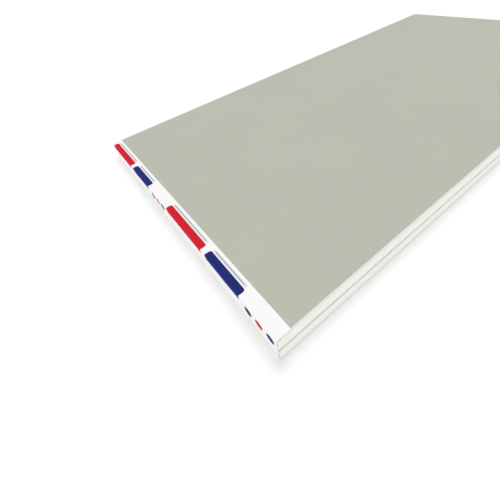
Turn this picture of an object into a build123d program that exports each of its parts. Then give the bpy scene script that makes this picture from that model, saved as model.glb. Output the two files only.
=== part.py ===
from build123d import *
import os

# A pair of gypsum boards laid face to face, with their grey backs outwards, and bound at one end by a
# folded paper tape. Millimetres. X runs along the boards from the taped end, Y across them, Z up.
# The origin is under the middle of the pair, on the surface that it lies on.

# Driving dimensions of one board
board_length = 1200.0
board_width = 600.0
board_thickness = 19.0

# Long edges of a board, where the face paper is wrapped round the core
taper_width = 45.0
taper_depth = 1.5
taper_shoulder_radius = 500.0
face_corner_radius = 2.5
back_corner_radius = 1.5

# Paper tape folded over the end of the pair
tape_thickness = 0.2
tape_top_fold = 21.0
tape_bottom_fold = 21.0
tape_side_inset = 2.0

# Places that follow from the sizes
half_width = board_width / 2
taper_start = half_width - taper_width
edge_height = board_thickness - taper_depth
end_x = (tape_thickness - board_length) / 2
pair_thickness = 2 * board_thickness


def board_section() -> Sketch:
    """Section across a board that lies on its back: flat back, tapered face edges, rounded long edges."""
    outline = Polyline(
        (-half_width, 0),
        (half_width, 0),
        (half_width, edge_height),
        (taper_start, board_thickness),
        (-taper_start, board_thickness),
        (-half_width, edge_height),
        close=True,
    )
    section = Sketch() + make_face(outline)
    back_corners = section.vertices().group_by(Axis.Y)[0]
    section = fillet(back_corners, back_corner_radius)
    edge_corners = section.vertices().filter_by(lambda v: abs(v.Y - edge_height) < taper_depth / 2)
    section = fillet(edge_corners, face_corner_radius)
    shoulders = section.vertices().group_by(Axis.Y)[-1]
    return fillet(shoulders, taper_shoulder_radius)


def board() -> Part:
    """One board on its back, centred over the origin, with square-cut ends."""
    across = Plane(origin=(end_x, 0, 0), x_dir=(0, 1, 0), z_dir=(1, 0, 0))
    return extrude(across * board_section(), amount=board_length)


def tape() -> Part:
    """Tape of even thickness folded round the end of the pair, with both folds pressed flush into the backs."""
    outer_x = end_x - tape_thickness
    top_fold_z = pair_thickness - tape_thickness
    inner_line = [
        (end_x + tape_top_fold, top_fold_z),
        (end_x, top_fold_z),
        (end_x, tape_thickness),
        (end_x + tape_bottom_fold, tape_thickness),
    ]
    outer_line = [
        (end_x + tape_bottom_fold, 0),
        (outer_x, 0),
        (outer_x, pair_thickness),
        (end_x + tape_top_fold, pair_thickness),
    ]
    section = Sketch() + make_face(Polyline(*inner_line, *outer_line, close=True))
    folds = section.vertices().group_by(Axis.X)[0]
    section = fillet(folds, tape_thickness)
    tape_width = board_width - 2 * tape_side_inset
    return extrude(Plane.XZ * section, amount=tape_width / 2, both=True)


end_tape = tape()
lower_board = board() - end_tape
upper_board = Pos(0, 0, pair_thickness) * (Rot(180, 0, 0) * board()) - end_tape

os.makedirs("parts", exist_ok=True)
export_step(lower_board, "parts/lower_board.step")
export_step(upper_board, "parts/upper_board.step")
export_step(end_tape, "parts/end_tape.step")
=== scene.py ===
import math
from collections import namedtuple
from itertools import accumulate

import bmesh
import bpy
from mathutils import Euler, Matrix, Vector, noise


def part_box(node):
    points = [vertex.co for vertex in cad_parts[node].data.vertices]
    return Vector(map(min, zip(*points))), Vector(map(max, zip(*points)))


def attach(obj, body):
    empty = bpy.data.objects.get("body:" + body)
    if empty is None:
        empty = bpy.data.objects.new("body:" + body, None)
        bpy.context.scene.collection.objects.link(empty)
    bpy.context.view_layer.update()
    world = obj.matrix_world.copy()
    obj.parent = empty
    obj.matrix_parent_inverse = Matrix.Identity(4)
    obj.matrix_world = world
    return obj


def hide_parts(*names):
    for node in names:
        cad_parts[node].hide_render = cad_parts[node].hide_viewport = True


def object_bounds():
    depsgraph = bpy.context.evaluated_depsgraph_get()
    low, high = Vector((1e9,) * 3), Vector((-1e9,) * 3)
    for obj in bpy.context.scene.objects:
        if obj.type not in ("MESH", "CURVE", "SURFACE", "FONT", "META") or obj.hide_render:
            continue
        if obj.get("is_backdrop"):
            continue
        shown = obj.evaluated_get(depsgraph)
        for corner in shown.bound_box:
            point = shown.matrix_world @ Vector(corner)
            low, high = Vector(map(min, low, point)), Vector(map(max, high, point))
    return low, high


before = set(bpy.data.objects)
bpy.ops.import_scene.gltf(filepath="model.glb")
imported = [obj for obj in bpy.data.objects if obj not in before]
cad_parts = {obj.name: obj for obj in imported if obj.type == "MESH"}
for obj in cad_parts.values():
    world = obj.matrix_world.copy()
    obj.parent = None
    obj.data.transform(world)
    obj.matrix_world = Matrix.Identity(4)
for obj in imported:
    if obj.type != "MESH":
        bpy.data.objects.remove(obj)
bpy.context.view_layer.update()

bl_info = {
    "name": "Taped gypsum boards",
    "version": (1, 0, 0),
    "blender": (4, 5, 0),
    "location": "View3D > Sidebar > Boards",
    "description": "Dresses a taped pair of gypsum boards with its papers, cut cores, end tape and stage",
    "category": "Object",
}

# The frame's own boxes, in metres: X along the boards from the taped end, Y across them, Z up
UPPER_LOW, UPPER_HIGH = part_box("upper_board")
LOWER_LOW, LOWER_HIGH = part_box("lower_board")
TAPE_LOW, TAPE_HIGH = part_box("end_tape")
BOARD_THICKNESS = LOWER_HIGH.z - LOWER_LOW.z
HALF_WIDTH = (LOWER_HIGH.y - LOWER_LOW.y) / 2

BODY = "root"

# Side of the photograph in pixels, and width of the camera's sensor in millimetres
PHOTO_PIXELS = 500
SENSOR = 36.0

# How finely the meshes are divided, and how they are closed and shaded
SWEEP_POINTS = 97
CORE_COLUMNS = 400
CORE_ROWS = 10
EDGE_ARC_STEPS = 6
RIM_ARC_STEPS = 3
FOLD_ARC_STEPS = 4
MERGE_DISTANCE = 1e-7
SHARP_ANGLE = math.radians(35)

# Fractal noise of the cut cores and of the tape's wrinkles: how its octaves weaken and shrink, and how many
# it has, and the least depth of a cut as a share of the most
OCTAVE_FALL = 1.0
OCTAVE_STEP = 2.0
CUT_OCTAVES = 3
WRINKLE_OCTAVES = 2
LEAST_CUT_SHARE = 0.05

# The tape's print, in millimetres. A row's place is measured along the tape from the inner edge of its top
# fold, and a bar's or dot's place across the tape from its +Y side, within one repeat.
MILLIMETRES = 1000.0
TAPE_MAP = "tape"
Row = namedtuple("Row", "place half_height corner")
Bar = namedtuple("Bar", "middle half_length")
STRIP_ROW = Row(6.4, 2.5, 1.0)
RULE_ROW = Row(6.4, 0.5, 0.4)
BAR_ROW = Row(20.0, 10.0, 4.0)
DOT_ROW = Row(34.0, 7.0, 7.0)
SPECK_ROW = Row(70.0, 2.4, 2.4)
PRINT_REPEAT = 298.0
RED_BAR = Bar(71.0, 60.0)
NAVY_BAR = Bar(185.0, 42.0)
NAVY_DOTS = (244.0, 286.0)
RED_DOT = 265.0
STRIP_INSET = 3.0
RULE_INSET = 7.0
SPECK_REPEAT = 12.0


def length(name, default, description):
    """A length property, in metres."""
    return bpy.props.FloatProperty(
        name=name,
        description=description,
        default=default,
        min=0,
        precision=5,
        subtype="DISTANCE",
        unit="LENGTH",
    )


def colour(name, default, description):
    """A colour property, in linear values."""
    return bpy.props.FloatVectorProperty(
        name=name, description=description, default=default, size=3, min=0, max=1, subtype="COLOR"
    )


def plain(name, default, description):
    """A plain number."""
    return bpy.props.FloatProperty(name=name, description=description, default=default)


def angle(name, default, description):
    """An angle, given in degrees."""
    return bpy.props.FloatProperty(
        name=name, description=description, default=math.radians(default), subtype="ANGLE"
    )


def place(name, default, description):
    """A place or an offset, in metres."""
    return bpy.props.FloatVectorProperty(
        name=name, description=description, default=default, size=3, subtype="TRANSLATION", unit="LENGTH"
    )


class BoardSettings(bpy.types.PropertyGroup):
    """Section and papers of one board."""

    taper_width: length("Taper width", 0.045, "Width of the tapered band along each long edge of the face")
    taper_depth: length("Taper depth", 0.0015, "Depth of the taper at the long edge")
    shoulder_radius: length("Shoulder radius", 0.5, "Rounding where the taper starts")
    face_corner_radius: length("Face corner", 0.0025, "Rounding of the long edge towards the face")
    back_corner_radius: length("Back corner", 0.0015, "Rounding of the long edge towards the back")
    paper_thickness: length("Paper thickness", 0.0004, "Thickness of the face paper and of the back paper")
    paper_lap: length("Paper lap", 0.022, "How far the face paper is folded in under the back paper")
    back_inset: length("Back paper inset", 0.0035, "How far the back paper stops short of the long edge")
    wave_height: length("Wave height", 0.00012, "Height of the slow waves in the papers")
    wave_size: length("Wave size", 0.12, "Length of the slow waves in the papers")
    cut_depth: length("Cut depth", 0.0007, "How far the cut core lies behind its papers at most")
    grain_size: length("Grain size", 0.004, "Size of the coarse grains on the cut core")
    # painted shade in the gap between the boards: how much it darkens the face paper, and how far it reaches
    painted_seam_shade: plain("Painted seam shade", 0.5, "Share of light that dust takes in the gap between the boards")
    painted_seam_shade_reach: length("Painted seam shade reach", 0.003, "How far the dust reaches from the middle of the gap")
    # painted shade along the back rims: a contact shade at the foot of the lower board and a shade at the
    # top rim of the upper one
    painted_rim_shade: plain("Painted rim shade", 0.2, "Share of light that handling takes at the back rims")
    painted_rim_shade_reach: length("Painted rim shade reach", 0.0016, "How far the worn rim reaches from the backs")
    back_colour: colour("Back paper", (0.492, 0.504, 0.427), "Grey recycled back paper")
    face_colour: colour("Face paper", (0.935, 0.925, 0.88), "Ivory face paper")
    core_colour: colour("Core", (0.76, 0.75, 0.715), "Cut gypsum core")


class TapeSettings(bpy.types.PropertyGroup):
    """Shape and inks of the end tape."""

    thickness: length("Thickness", 0.0002, "Thickness of the tape")
    fold_radius: length("Fold radius", 0.0004, "Rounding of the tape at its two folds")
    row_step: length("Row step", 0.001, "Spacing of the tape's mesh from fold to fold")
    column_step: length("Column step", 0.003, "Spacing of the tape's mesh across the boards")
    wrinkle_height: length("Wrinkle height", 0.00035, "Height of the small wrinkles")
    wrinkle_size: length("Wrinkle size", 0.03, "Length of the small wrinkles")
    dent_depth: length("Dent depth", 0.0003, "How far the tape is pushed into the gap between the tapers")
    paper_colour: colour("Tape paper", (0.95, 0.95, 0.945), "White tape paper")
    navy_colour: colour("Navy ink", (0.017, 0.027, 0.172), "Navy print")
    red_colour: colour("Red ink", (0.65, 0.016, 0.03), "Red print")
    pale_colour: colour("Pale ink", (0.77, 0.78, 0.79), "Pale grey print")
    rule_colour: colour("Rule ink", (0.2, 0.205, 0.24), "Slate rules on the pale print")


class StageSettings(bpy.types.PropertyGroup):
    """Floor, light and camera."""

    floor_colour: colour("Floor", (0.97, 0.97, 0.97), "Plain pale floor")
    floor_lift: plain("Floor lift", 0.055, "How much paler the floor is where it is seen")
    floor_size: length("Floor size", 80.0, "Side of the floor")
    world_strength: plain("World strength", 0.635, "Even light from all round")
    key_strength: plain("Key strength", 0.95, "Light of the soft key from above, in watts a square metre")
    key_angle: angle("Key angle", 28.0, "How wide the soft key looks from the boards")
    key_place: place("Key place", (0.95, 0.8, 3.0), "Where the soft key stands")
    fill_strength: plain(
        "Fill strength", 0.75, "Light of the soft fill on the taped end, in watts a square metre"
    )
    fill_angle: angle("Fill angle", 60.0, "How wide the soft fill looks from the boards")
    fill_place: place("Fill place", (-2.2, -1.9, 1.1), "Where the soft fill stands")
    focal_pixels: plain("Focal length", 318.4, "Focal length of the view, in pixels of the photograph")
    camera_pitch: angle("Pitch", 36.84, "How far the camera looks down")
    camera_heading: angle("Heading", 29.905, "Heading of the view, from +Y towards +X")
    camera_roll: angle("Roll", -10.73, "Turn of the camera about its view")
    camera_shift: plain("Shift", -0.15, "How far the frame is moved up over the view, in frame widths")
    camera_offset: place(
        "Camera offset",
        (-0.07541, -0.14029, 0.34208),
        "Camera's place from the near top corner of the taped end",
    )


class NodeKit:
    """Adds and links the nodes of one tree."""

    def __init__(self, tree):
        self.tree = tree

    def add(self, kind, inputs=None, **settings):
        """A new node with its settings, and its inputs set or linked."""
        node = self.tree.nodes.new(kind)
        for name, value in settings.items():
            setattr(node, name, value)
        for name, value in (inputs or {}).items():
            self.feed(node.inputs[name], value)
        return node

    def feed(self, socket, value):
        """Links a socket to another one, or sets its value."""
        if isinstance(value, bpy.types.NodeSocket):
            self.tree.links.new(value, socket)
        else:
            socket.default_value = value

    def step(self, kind, operation, values):
        """The result of one node of arithmetic, with its inputs in order."""
        node = self.add(kind, operation=operation)
        for socket, value in zip(node.inputs, values):
            self.feed(socket, value)
        return node.outputs[0]

    def math(self, operation, *values):
        """One step of arithmetic with numbers."""
        return self.step("ShaderNodeMath", operation, values)

    def vector(self, operation, *values):
        """One step of arithmetic with vectors."""
        return self.step("ShaderNodeVectorMath", operation, values)

    def scaled(self, value, factor):
        """A vector or a colour scaled by a factor."""
        node = self.add("ShaderNodeVectorMath", {"Scale": factor}, operation="SCALE")
        self.feed(node.inputs[0], value)
        return node.outputs[0]


class Recipe(NodeKit):
    """The nodes of one material."""

    def __init__(self, name):
        self.material = bpy.data.materials.new(name)
        self.material.use_nodes = True
        super().__init__(self.material.node_tree)
        self.shader = self.tree.nodes["Principled BSDF"]
        self.place = self.add("ShaderNodeTexCoord").outputs["Object"]

    def noise(self, scale, detail, roughness=0.55, stretch=(1, 1, 1)):
        """Noise from 0 to 1 over the object, with a scale in features a metre."""
        stretched = self.add("ShaderNodeMapping", {"Vector": self.place, "Scale": stretch})
        inputs = {
            "Vector": stretched.outputs[0],
            "Scale": scale,
            "Detail": detail,
            "Roughness": roughness,
        }
        return self.add("ShaderNodeTexNoise", inputs).outputs[0]

    def shade(self, parts):
        """A factor about 1 from pairs of a noise and its share."""
        total = 1.0
        for value, share in parts:
            centred = self.math("SUBTRACT", value, 0.5)
            total = self.math("MULTIPLY_ADD", centred, 2 * share, total)
        return total

    def tint(self, colour_value, factor):
        """A colour of the settings, scaled by a factor."""
        return self.scaled(tuple(colour_value), factor)

    def mix(self, factor, first, second):
        """One colour over another by a factor."""
        node = self.add("ShaderNodeMix", {"Factor": factor}, data_type="RGBA")
        for name, value in (("A", first), ("B", second)):
            socket = next(s for s in node.inputs if s.name == name and s.type == "RGBA")
            self.feed(socket, value)
        return next(s for s in node.outputs if s.type == "RGBA")

    def bump(self, height, distance, strength):
        """Relief from a height, a distance in metres deep."""
        inputs = {"Height": height, "Distance": distance, "Strength": strength}
        self.feed(self.shader.inputs["Normal"], self.add("ShaderNodeBump", inputs).outputs[0])

    def finish(self, base, roughness, specular):
        """Sets the shader and gives the material."""
        self.feed(self.shader.inputs["Base Color"], base)
        self.shader.inputs["Roughness"].default_value = roughness
        self.shader.inputs["Specular IOR Level"].default_value = specular
        return self.material


class PrintRecipe(Recipe):
    """The nodes of a printed paper, with its shapes laid out over the tape's own map."""

    def __init__(self, name):
        super().__init__(name)
        spot = self.add("ShaderNodeUVMap", uv_map=TAPE_MAP).outputs[0]
        parts = self.add("ShaderNodeSeparateXYZ", {"Vector": spot})
        self.across = self.math("MULTIPLY", parts.outputs["X"], MILLIMETRES)
        self.along = self.math("MULTIPLY", parts.outputs["Y"], MILLIMETRES)

    def bars(self, repeat, middle, half_length, row):
        """Round-cornered bars in one row, one in each repeat."""
        cell = self.math("MODULO", self.across, repeat)
        reaches = []
        for value, centre, extent in ((cell, middle, half_length), (self.along, row.place, row.half_height)):
            distance = self.math("ABSOLUTE", self.math("SUBTRACT", value, centre))
            past = self.math("SUBTRACT", distance, extent - row.corner)
            reaches.append(self.math("MAXIMUM", past, 0))
        square = self.math("POWER", reaches[1], 2)
        squares = self.math("MULTIPLY_ADD", reaches[0], reaches[0], square)
        return self.math("LESS_THAN", squares, row.corner ** 2)

    def dot(self, middle):
        """Dots below the fold, one in each repeat."""
        return self.bars(PRINT_REPEAT, middle, DOT_ROW.half_height, DOT_ROW)

    def lines(self, inset, row):
        """Lines beside the long bars, shorter than them by an inset at each end."""
        return [
            self.bars(PRINT_REPEAT, bar.middle, bar.half_length - inset, row)
            for bar in (RED_BAR, NAVY_BAR)
        ]

    def joined(self, shapes):
        """Several shapes as one."""
        total = shapes[0]
        for shape in shapes[1:]:
            total = self.math("MAXIMUM", total, shape)
        return total


def back_paper_material(board):
    """Grey recycled paper: faint clouds, streaks along the board, fibres and dark flecks."""
    cloud_share = 0.035
    streak_share = 0.02
    fibre_share = 0.05
    fleck_level = 0.71
    fleck_share = 0.12
    recipe = Recipe("back paper")
    clouds = recipe.noise(scale=7, detail=2)
    streaks = recipe.noise(scale=1, detail=2, stretch=(3, 130, 1))
    fibres = recipe.noise(scale=700, detail=4, stretch=(0.45, 1, 1))
    flecks = recipe.math("GREATER_THAN", recipe.noise(scale=420, detail=1), fleck_level)
    shade = recipe.shade([(clouds, cloud_share), (streaks, streak_share), (fibres, fibre_share)])
    shade = recipe.math("MULTIPLY_ADD", flecks, -fleck_share, shade)
    recipe.bump(fibres, distance=0.00012, strength=0.6)
    return recipe.finish(recipe.tint(board.back_colour, shade), roughness=0.88, specular=0.25)


def painted_shade_factor(recipe, height, level, reach, share):
    """A factor of painted shade that falls by a share towards a level, within a reach of it."""
    distance = recipe.math("ABSOLUTE", recipe.math("SUBTRACT", height, level))
    inputs = {"Value": distance, "From Min": 0, "From Max": reach, "To Min": 1 - share, "To Max": 1}
    return recipe.add("ShaderNodeMapRange", inputs, interpolation_type="SMOOTHSTEP").outputs[0]


def face_paper_material(board):
    """Ivory paper, smoother than the back, with painted shade in the seam between the boards and along both
    back rims.
    """
    cloud_share = 0.02
    fibre_share = 0.03
    scuff_share = 0.03
    recipe = Recipe("face paper")
    clouds = recipe.noise(scale=11, detail=2)
    fibres = recipe.noise(scale=800, detail=3, stretch=(0.4, 1, 1))
    scuffs = recipe.noise(scale=60, detail=4, roughness=0.7, stretch=(0.3, 1, 1))
    shade = recipe.shade([(clouds, cloud_share), (fibres, fibre_share), (scuffs, scuff_share)])
    height = recipe.add("ShaderNodeSeparateXYZ", {"Vector": recipe.place}).outputs["Z"]
    for level, reach, share in (
        # painted shade in the seam between the boards
        (LOWER_HIGH.z, board.painted_seam_shade_reach, board.painted_seam_shade),
        # painted shade along the back rims, at the floor and at the top
        (LOWER_LOW.z, board.painted_rim_shade_reach, board.painted_rim_shade),
        (UPPER_HIGH.z, board.painted_rim_shade_reach, board.painted_rim_shade),
    ):
        shade = recipe.math("MULTIPLY", shade, painted_shade_factor(recipe, height, level, reach, share))
    recipe.bump(fibres, distance=0.0001, strength=0.5)
    return recipe.finish(recipe.tint(board.face_colour, shade), roughness=0.8, specular=0.3)


def core_material(board):
    """Cut gypsum: chalky grains, and small air pores darkened with painted shade."""
    grain_share = 0.09
    patch_share = 0.05
    pores_a_metre = 520.0
    pore_radius_share = 0.24
    painted_pore_shade = 0.16
    pore_depth = 0.8
    recipe = Recipe("gypsum core")
    grains = recipe.noise(scale=900, detail=5, roughness=0.65)
    patches = recipe.noise(scale=45, detail=3)
    cells = recipe.add("ShaderNodeTexVoronoi", {"Vector": recipe.place, "Scale": pores_a_metre})
    pores = recipe.math("LESS_THAN", cells.outputs["Distance"], pore_radius_share)
    shade = recipe.shade([(grains, grain_share), (patches, patch_share)])
    # painted shade: each pore is darkened as if shadowed inside
    shade = recipe.math("MULTIPLY_ADD", pores, -painted_pore_shade, shade)
    recipe.bump(recipe.math("MULTIPLY_ADD", pores, -pore_depth, grains), distance=0.0004, strength=0.8)
    return recipe.finish(recipe.tint(board.core_colour, shade), roughness=0.95, specular=0.15)


def tape_material(tape):
    """White tape paper with a plain repeating print of bars, rules and dots."""
    fibre_share = 0.015
    cloud_share = 0.012
    ink_share = 0.12
    recipe = PrintRecipe("tape paper")
    fibres = recipe.noise(scale=900, detail=3)
    clouds = recipe.noise(scale=25, detail=2)
    shade = recipe.shade([(fibres, fibre_share), (clouds, cloud_share)])
    ink_shade = recipe.shade([(fibres, ink_share)])
    specks = recipe.bars(SPECK_REPEAT, SPECK_REPEAT / 2, SPECK_ROW.half_height, SPECK_ROW)
    pale = recipe.joined([*recipe.lines(STRIP_INSET, STRIP_ROW), specks])
    rules = recipe.joined(recipe.lines(RULE_INSET, RULE_ROW))
    navy = recipe.joined([recipe.bars(PRINT_REPEAT, *NAVY_BAR, BAR_ROW), *map(recipe.dot, NAVY_DOTS)])
    red = recipe.joined([recipe.bars(PRINT_REPEAT, *RED_BAR, BAR_ROW), recipe.dot(RED_DOT)])
    base = recipe.tint(tape.paper_colour, shade)
    for cover, ink, ink_factor in (
        (pale, tape.pale_colour, shade),
        (rules, tape.rule_colour, ink_shade),
        (navy, tape.navy_colour, ink_shade),
        (red, tape.red_colour, ink_shade),
    ):
        base = recipe.mix(cover, base, recipe.tint(ink, ink_factor))
    recipe.bump(fibres, distance=0.00005, strength=0.4)
    return recipe.finish(base, roughness=0.6, specular=0.03)


def rounded_path(corners, radii, steps):
    """Points along an open line of corners, each inner corner rounded to its radius."""
    path = [Vector(corners[0])]
    for before, corner, after, radius in zip(corners, corners[1:], corners[2:], radii):
        corner = Vector(corner)
        to_before = (Vector(before) - corner).normalized()
        to_after = (Vector(after) - corner).normalized()
        half_angle = to_before.angle(to_after) / 2
        centre = corner + (to_before + to_after).normalized() * radius / math.sin(half_angle)
        reach = radius / math.tan(half_angle)
        start = corner + to_before * reach - centre
        end = corner + to_after * reach - centre
        path.extend(centre + start.slerp(end, step / steps) * radius for step in range(steps + 1))
    path.append(Vector(corners[-1]))
    return path


def offset_path(path, distance):
    """The same line moved to its left by a distance."""
    moved = []
    for index, point in enumerate(path):
        before = path[max(index - 1, 0)]
        after = path[min(index + 1, len(path) - 1)]
        ahead = (after - before).normalized()
        moved.append(point + Vector((-ahead.y, ahead.x)) * distance)
    return moved


def wrap_path(board):
    """Outer line of the face paper on a board on its back, from one lap to the other, as (y, z)."""
    edge_height = BOARD_THICKNESS - board.taper_depth
    taper_start = HALF_WIDTH - board.taper_width
    lap_start = HALF_WIDTH - board.paper_lap
    right = [
        (lap_start, board.paper_thickness),
        (HALF_WIDTH, board.paper_thickness),
        (HALF_WIDTH, edge_height),
        (taper_start, BOARD_THICKNESS),
    ]
    left = [(-y, z) for y, z in reversed(right)]
    radii = [board.back_corner_radius, board.face_corner_radius, board.shoulder_radius]
    return rounded_path(right + left, radii + radii[::-1], EDGE_ARC_STEPS)


def face_paper_section(board):
    """Closed section of the face paper: its outer line and back along its inner line."""
    outer = wrap_path(board)
    return outer + offset_path(outer, board.paper_thickness)[::-1]


def back_paper_section(board):
    """Closed section of the back paper, with its outer corners worn round."""
    half = HALF_WIDTH - board.back_inset
    top = board.paper_thickness
    corners = [(0, top), (-half, top), (-half, 0), (half, 0), (half, top), (0, top)]
    worn = top / 2
    crisp = worn / 4
    return rounded_path(corners, [crisp, worn, worn, crisp], RIM_ARC_STEPS)[:-1]


def stand(point, upper):
    """A point (y, z) of a board on its back, in the frame: the upper board is turned over onto its face."""
    y, z = point
    if upper:
        return -y, UPPER_HIGH.z - z
    return y, LOWER_LOW.z + z


def board_ends(upper):
    """Where a board starts and ends along X."""
    if upper:
        return UPPER_LOW.x, UPPER_HIGH.x
    return LOWER_LOW.x, LOWER_HIGH.x


def geometry_tree(name, inputs, output):
    """An empty geometry tree with named inputs."""
    tree = bpy.data.node_groups.new(name, "GeometryNodeTree")
    for label, kind in inputs.items():
        tree.interface.new_socket(label, in_out="INPUT", socket_type=f"NodeSocket{kind}")
    tree.interface.new_socket(output, in_out="OUTPUT", socket_type="NodeSocketGeometry")
    return tree


def sweep_tree():
    """Sweeps a closed section along the board and lets the paper wave a little."""
    name = "Swept paper"
    if name in bpy.data.node_groups:
        return bpy.data.node_groups[name]
    inputs = {
        "Section": "Geometry",
        "Start": "Vector",
        "Length": "Float",
        "Steps": "Int",
        "Wave height": "Float",
        "Wave scale": "Float",
        "Seed": "Float",
        "Material": "Material",
    }
    tree = geometry_tree(name, inputs, "Paper")
    kit = NodeKit(tree)
    given = kit.add("NodeGroupInput").outputs

    profile = kit.add("GeometryNodeMeshToCurve", {"Mesh": given["Section"]}).outputs["Curve"]
    run = {"Start": given["Start"], "Direction": (1, 0, 0), "Length": given["Length"]}
    line = kit.add("GeometryNodeCurvePrimitiveLine", run, mode="DIRECTION").outputs["Curve"]
    path = kit.add("GeometryNodeResampleCurve", {"Curve": line, "Count": given["Steps"]}).outputs["Curve"]
    shape = {"Curve": path, "Profile Curve": profile, "Fill Caps": True}
    sweep = kit.add("GeometryNodeCurveToMesh", shape).outputs["Mesh"]

    # the noise runs from 0 to 1: it is centred and doubled, and left out along the board
    ripple = {"Scale": given["Wave scale"], "W": given["Seed"], "Detail": 1.0}
    waves = kit.add("ShaderNodeTexNoise", ripple, noise_dimensions="4D").outputs["Color"]
    centred = kit.vector("SUBTRACT", waves, (0.5, 0.5, 0.5))
    sideways = kit.vector("MULTIPLY", centred, (0, 2, 2))
    offset = kit.scaled(sideways, given["Wave height"])
    moved = kit.add("GeometryNodeSetPosition", {"Geometry": sweep, "Offset": offset}).outputs[0]

    real = kit.add("GeometryNodeRealizeInstances", {"Geometry": moved}).outputs[0]
    paint = {"Geometry": real, "Material": given["Material"]}
    kit.add("NodeGroupOutput", {"Paper": kit.add("GeometryNodeSetMaterial", paint).outputs[0]})
    return tree


def grown(obj, tree, values):
    """The plain mesh that a geometry tree makes of an object; the object is deleted."""
    modifier = obj.modifiers.new(tree.name, "NODES")
    modifier.node_group = tree
    for item in tree.interface.items_tree:
        if item.in_out == "INPUT" and item.name in values:
            modifier[item.identifier] = values[item.name]
    bpy.context.view_layer.update()
    evaluated = obj.evaluated_get(bpy.context.evaluated_depsgraph_get())
    mesh = bpy.data.meshes.new_from_object(evaluated)
    obj.modifiers.remove(modifier)
    bpy.data.objects.remove(obj)
    return mesh


def linked_object(name, data):
    """A new object at the origin."""
    obj = bpy.data.objects.new(name, data)
    bpy.context.scene.collection.objects.link(obj)
    return obj


def finished_piece(name, mesh, nodes=()):
    """Closes and smooths a mesh, puts it on the body, and hides the nodes that it stands for."""
    if not mesh.polygons:
        raise RuntimeError(f"{name} has no faces")
    shape = bmesh.new()
    shape.from_mesh(mesh)
    bmesh.ops.remove_doubles(shape, verts=shape.verts, dist=MERGE_DISTANCE)
    bmesh.ops.recalc_face_normals(shape, faces=shape.faces)
    for edge in shape.edges:
        edge.smooth = len(edge.link_faces) == 2 and edge.calc_face_angle() < SHARP_ANGLE
    for face in shape.faces:
        face.smooth = True
    shape.to_mesh(mesh)
    shape.free()
    piece = linked_object(name, mesh)
    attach(piece, BODY)
    if nodes:
        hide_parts(*nodes)


def swept_piece(name, section, upper, material, seed, board):
    """A paper of one board, swept along the board from its section."""
    start, end = board_ends(upper)
    outline = bpy.data.meshes.new(name)
    # the sweep along +X lays the section's own axes along -Y and -Z
    points = [(-y, -z, 0) for y, z in (stand(point, upper) for point in section)]
    edges = [(index, (index + 1) % len(points)) for index in range(len(points))]
    outline.from_pydata(points, edges, [])
    values = {
        "Start": (start, 0, 0),
        "Length": end - start,
        "Steps": SWEEP_POINTS,
        "Wave height": board.wave_height,
        "Wave scale": 1 / board.wave_size,
        "Seed": seed,
        "Material": material,
    }
    mesh = grown(linked_object(f"{name}_section", outline), sweep_tree(), values)
    finished_piece(name, mesh)


class BOARD_OT_face_papers(bpy.types.Operator):
    """Wrap the ivory face paper round both boards"""

    bl_idname = "board.face_papers"
    bl_label = "Face papers"

    def execute(self, context):
        board = context.scene.board_settings
        material = face_paper_material(board)
        section = face_paper_section(board)
        for name, upper, seed in (("upper_face_paper", True, 1.0), ("lower_face_paper", False, 2.0)):
            swept_piece(name, section, upper, material, seed, board)
        return {"FINISHED"}


class BOARD_OT_back_papers(bpy.types.Operator):
    """Lay the grey back paper on both boards"""

    bl_idname = "board.back_papers"
    bl_label = "Back papers"

    def execute(self, context):
        board = context.scene.board_settings
        material = back_paper_material(board)
        section = back_paper_section(board)
        for name, upper, seed in (("upper_back_paper", True, 3.0), ("lower_back_paper", False, 4.0)):
            swept_piece(name, section, upper, material, seed, board)
        return {"FINISHED"}


def close_shell(shape, grids):
    """Covers two like grids of vertices with faces, and joins them along their rims."""
    first, last = grids
    columns = len(first) - 1
    rows = len(first[0]) - 1
    for grid in grids:
        for left, right in zip(grid, grid[1:]):
            for row in range(rows):
                shape.faces.new((left[row], right[row], right[row + 1], left[row + 1]))
    for column in range(columns):
        for row in (0, rows):
            near = (first[column][row], first[column + 1][row])
            far = (last[column + 1][row], last[column][row])
            shape.faces.new(near + far)
    for column in (0, columns):
        for row in range(rows):
            near = (first[column][row], first[column][row + 1])
            far = (last[column][row + 1], last[column][row])
            shape.faces.new(near + far)


def new_mesh(name, shape):
    """A new mesh from an edited shape, which is freed."""
    mesh = bpy.data.meshes.new(name)
    shape.to_mesh(mesh)
    shape.free()
    return mesh


def corner_drop(reach, radius):
    """How far a rounded corner has fallen away at a distance from the side."""
    if reach >= radius:
        return 0.0
    return radius - math.sqrt(max(radius ** 2 - (radius - reach) ** 2, 0))


def core_span(y, board):
    """Lowest and highest point of a board's core at y, on a board that lies on its back."""
    paper = board.paper_thickness
    reach = HALF_WIDTH - paper - abs(y)
    taper_start = HALF_WIDTH - board.taper_width
    slope = max(abs(y) - taper_start, 0) / board.taper_width
    low = paper if abs(y) < HALF_WIDTH - board.paper_lap else 2 * paper
    high = BOARD_THICKNESS - paper - slope * board.taper_depth
    low += corner_drop(reach, board.back_corner_radius - paper)
    high -= corner_drop(reach, board.face_corner_radius - paper)
    return low, high


def cut_depth(point, board):
    """How far the rough cut lies behind a point of a board's end."""
    rough = noise.fractal(Vector(point) / board.grain_size, OCTAVE_FALL, OCTAVE_STEP, CUT_OCTAVES)
    return board.cut_depth * min(max((1 + rough) / 2, LEAST_CUT_SHARE), 1)


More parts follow.
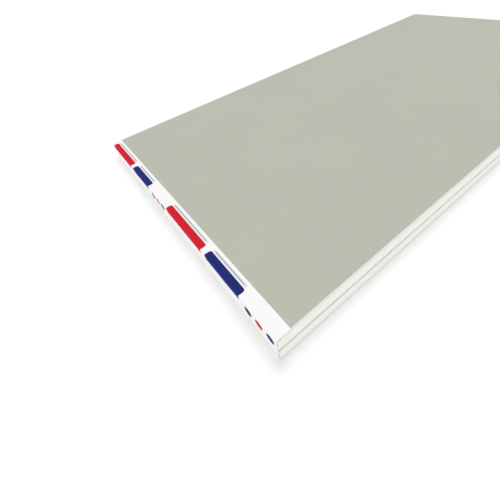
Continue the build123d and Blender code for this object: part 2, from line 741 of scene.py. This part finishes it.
def core_mesh(name, upper, board):
    """A board's core, with a rough cut face at both ends."""
    start, end = board_ends(upper)
    half = HALF_WIDTH - board.paper_thickness
    shape = bmesh.new()
    caps = []
    for end_x, inwards in ((start, 1), (end, -1)):
        cap = []
        for column in range(CORE_COLUMNS + 1):
            y = -half + 2 * half * column / CORE_COLUMNS
            bottom, top = core_span(y, board)
            line = []
            for row in range(CORE_ROWS + 1):
                across, height = stand((y, bottom + (top - bottom) * row / CORE_ROWS), upper)
                depth = cut_depth((end_x, across, height), board)
                line.append(shape.verts.new((end_x + inwards * depth, across, height)))
            cap.append(line)
        caps.append(cap)
    close_shell(shape, caps)
    return new_mesh(name, shape)


class BOARD_OT_cores(bpy.types.Operator):
    """Make both gypsum cores, cut rough at their ends"""

    bl_idname = "board.cores"
    bl_label = "Cores"

    def execute(self, context):
        board = context.scene.board_settings
        material = core_material(board)
        for name, node, upper in (("upper_core", "upper_board", True), ("lower_core", "lower_board", False)):
            mesh = core_mesh(name, upper, board)
            mesh.materials.append(material)
            finished_piece(name, mesh, [node])
        return {"FINISHED"}


def tape_path(tape):
    """Outer line of the tape round the end of the pair, as (x, z), from the top fold to the bottom one."""
    end_x = LOWER_LOW.x - tape.thickness
    top = UPPER_HIGH.z + tape.thickness
    bottom = LOWER_LOW.z - tape.thickness
    corners = [(TAPE_HIGH.x, top), (end_x, top), (end_x, bottom), (TAPE_HIGH.x, bottom)]
    path = rounded_path(corners, [tape.fold_radius, tape.fold_radius], FOLD_ARC_STEPS)
    fine = [path[0]]
    for before, after in zip(path, path[1:]):
        pieces = max(round((after - before).length / tape.row_step), 1)
        fine.extend(before.lerp(after, piece / pieces) for piece in range(1, pieces + 1))
    return fine


def tape_lift(point, tape, board):
    """How far the tape stands off its flat shape: small wrinkles, and a dent over the tapers' gap."""
    x, y, z = point
    ripple = noise.fractal(Vector(point) / tape.wrinkle_size, OCTAVE_FALL, OCTAVE_STEP, WRINKLE_OCTAVES)
    lift = tape.wrinkle_height * max(ripple, 0)
    if x > LOWER_LOW.x:
        return lift
    in_taper = min(max((abs(y) - HALF_WIDTH) / board.taper_width + 1, 0), 1)
    half_gap = board.taper_depth * in_taper
    off_middle = abs(z - (UPPER_HIGH.z + LOWER_LOW.z) / 2)
    if off_middle >= half_gap:
        return lift
    return lift - tape.dent_depth * in_taper * (1 - (off_middle / half_gap) ** 2)


def tape_mesh(name, tape, board):
    """The folded tape, with its distance across and along in its UV map, in metres."""
    path = tape_path(tape)
    sides = [(after - before).length for before, after in zip(path, path[1:])]
    distances = [0.0, *accumulate(sides)]
    normals = [moved - point for point, moved in zip(path, offset_path(path, -1.0))]
    columns = round((TAPE_HIGH.y - TAPE_LOW.y) / tape.column_step)
    shape = bmesh.new()
    layer = shape.loops.layers.uv.new(TAPE_MAP)
    places = {}
    skins = []
    for depth in (0, tape.thickness):
        skin = []
        for column in range(columns + 1):
            y = TAPE_HIGH.y + (TAPE_LOW.y - TAPE_HIGH.y) * column / columns
            line = []
            for point, normal, distance in zip(path, normals, distances):
                lift = tape_lift((point.x, y, point.y), tape, board) - depth
                vertex = shape.verts.new((point.x + normal.x * lift, y, point.y + normal.y * lift))
                places[vertex] = (TAPE_HIGH.y - vertex.co.y, distance)
                line.append(vertex)
            skin.append(line)
        skins.append(skin)
    close_shell(shape, skins)
    for face in shape.faces:
        for loop in face.loops:
            loop[layer].uv = places[loop.vert]
    return new_mesh(name, shape)


class BOARD_OT_end_tape(bpy.types.Operator):
    """Fold the printed tape over the end of the pair"""

    bl_idname = "board.end_tape"
    bl_label = "End tape"

    def execute(self, context):
        tape = context.scene.tape_settings
        mesh = tape_mesh("folded_tape", tape, context.scene.board_settings)
        mesh.materials.append(tape_material(tape))
        finished_piece("folded_tape", mesh, ["end_tape"])
        return {"FINISHED"}


def seen_strength(kit, plain_strength, added):
    """A strength that is larger where the camera sees the surface, straight or in gloss or glass."""
    rays = kit.add("ShaderNodeLightPath").outputs
    seen = rays["Is Camera Ray"]
    for name in ("Is Glossy Ray", "Is Transmission Ray"):
        seen = kit.math("MAXIMUM", seen, rays[name])
    return kit.math("MULTIPLY_ADD", seen, added, plain_strength)


def floor_material(stage):
    """Plain pale floor with a faint unevenness."""
    uneven_share = 0.004
    recipe = Recipe("pale floor")
    shade = recipe.shade([(recipe.noise(scale=2, detail=2), uneven_share)])
    recipe.shader.inputs["Emission Color"].default_value = (1, 1, 1, 1)
    lift = seen_strength(recipe, 0, stage.floor_lift)
    recipe.feed(recipe.shader.inputs["Emission Strength"], lift)
    return recipe.finish(recipe.tint(stage.floor_colour, shade), roughness=0.9, specular=0.1)


def floor_object(stage):
    """A wide floor at the foot of the dressed boards."""
    half = stage.floor_size / 2
    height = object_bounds()[0].z
    corners = [(-half, -half, height), (half, -half, height), (half, half, height), (-half, half, height)]
    mesh = bpy.data.meshes.new("floor")
    mesh.from_pydata(corners, [], [(0, 1, 2, 3)])
    mesh.materials.append(floor_material(stage))
    return linked_object("floor", mesh)


def soft_lamp(name, strength, width, stand_point):
    """A wide distant lamp that faces the boards."""
    lamp = bpy.data.lights.new(name, "SUN")
    lamp.energy = strength
    lamp.angle = width
    obj = linked_object(name, lamp)
    obj.location = stand_point
    obj.rotation_euler = (-Vector(stand_point)).to_track_quat("-Z", "Y").to_euler()


def studio_world(stage):
    """Even light from all round, which looks plain white where it is seen."""
    world = bpy.data.worlds.new("studio")
    world.use_nodes = True
    kit = NodeKit(world.node_tree)
    background = world.node_tree.nodes["Background"]
    background.inputs["Color"].default_value = (1, 1, 1, 1)
    strength = seen_strength(kit, stage.world_strength, 1 - stage.world_strength)
    kit.feed(background.inputs["Strength"], strength)
    return world


def photo_camera(stage):
    """A camera at the photograph's place, with its angles and its framing."""
    camera_data = bpy.data.cameras.new("camera")
    camera_data.sensor_width = SENSOR
    camera_data.lens = SENSOR * stage.focal_pixels / PHOTO_PIXELS
    camera_data.shift_y = stage.camera_shift
    camera = linked_object("camera", camera_data)
    near_corner = Vector((UPPER_LOW.x, UPPER_LOW.y, UPPER_HIGH.z))
    camera.location = near_corner + Vector(stage.camera_offset)
    level = Euler((math.pi / 2 - stage.camera_pitch, 0, -stage.camera_heading)).to_matrix()
    camera.rotation_euler = (level @ Matrix.Rotation(stage.camera_roll, 3, "Z")).to_euler()
    return camera


class BOARD_OT_stage(bpy.types.Operator):
    """Set up the floor, the light and the camera"""

    bl_idname = "board.stage"
    bl_label = "Stage"

    def execute(self, context):
        scene = context.scene
        stage = scene.stage_settings
        floor_object(stage)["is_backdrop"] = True
        scene.world = studio_world(stage)
        soft_lamp("key", stage.key_strength, stage.key_angle, stage.key_place)
        soft_lamp("fill", stage.fill_strength, stage.fill_angle, stage.fill_place)
        scene.camera = photo_camera(stage)
        scene.view_settings.view_transform = "Standard"
        return {"FINISHED"}


class BOARD_PT_panel(bpy.types.Panel):
    """Lists the steps that dress the boards"""

    bl_idname = "BOARD_PT_panel"
    bl_label = "Boards"
    bl_space_type = "VIEW_3D"
    bl_region_type = "UI"
    bl_category = "Boards"

    def draw(self, context):
        for operator in OPERATORS:
            self.layout.operator(operator.bl_idname)


SETTINGS = {"board_settings": BoardSettings, "tape_settings": TapeSettings, "stage_settings": StageSettings}
OPERATORS = (BOARD_OT_cores, BOARD_OT_face_papers, BOARD_OT_back_papers, BOARD_OT_end_tape, BOARD_OT_stage)
CLASSES = (*SETTINGS.values(), *OPERATORS, BOARD_PT_panel)


def register():
    """Registers the classes and puts the settings on the scene."""
    for cls in CLASSES:
        bpy.utils.register_class(cls)
    for name, cls in SETTINGS.items():
        setattr(bpy.types.Scene, name, bpy.props.PointerProperty(type=cls))


def unregister():
    """Takes the settings off the scene and unregisters the classes."""
    for name in SETTINGS:
        delattr(bpy.types.Scene, name)
    for cls in reversed(CLASSES):
        bpy.utils.unregister_class(cls)


def main():
    """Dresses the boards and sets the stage."""
    register()
    bpy.ops.board.cores()
    bpy.ops.board.face_papers()
    bpy.ops.board.back_papers()
    bpy.ops.board.end_tape()
    bpy.ops.board.stage()


if __name__ == "__main__":
    main()
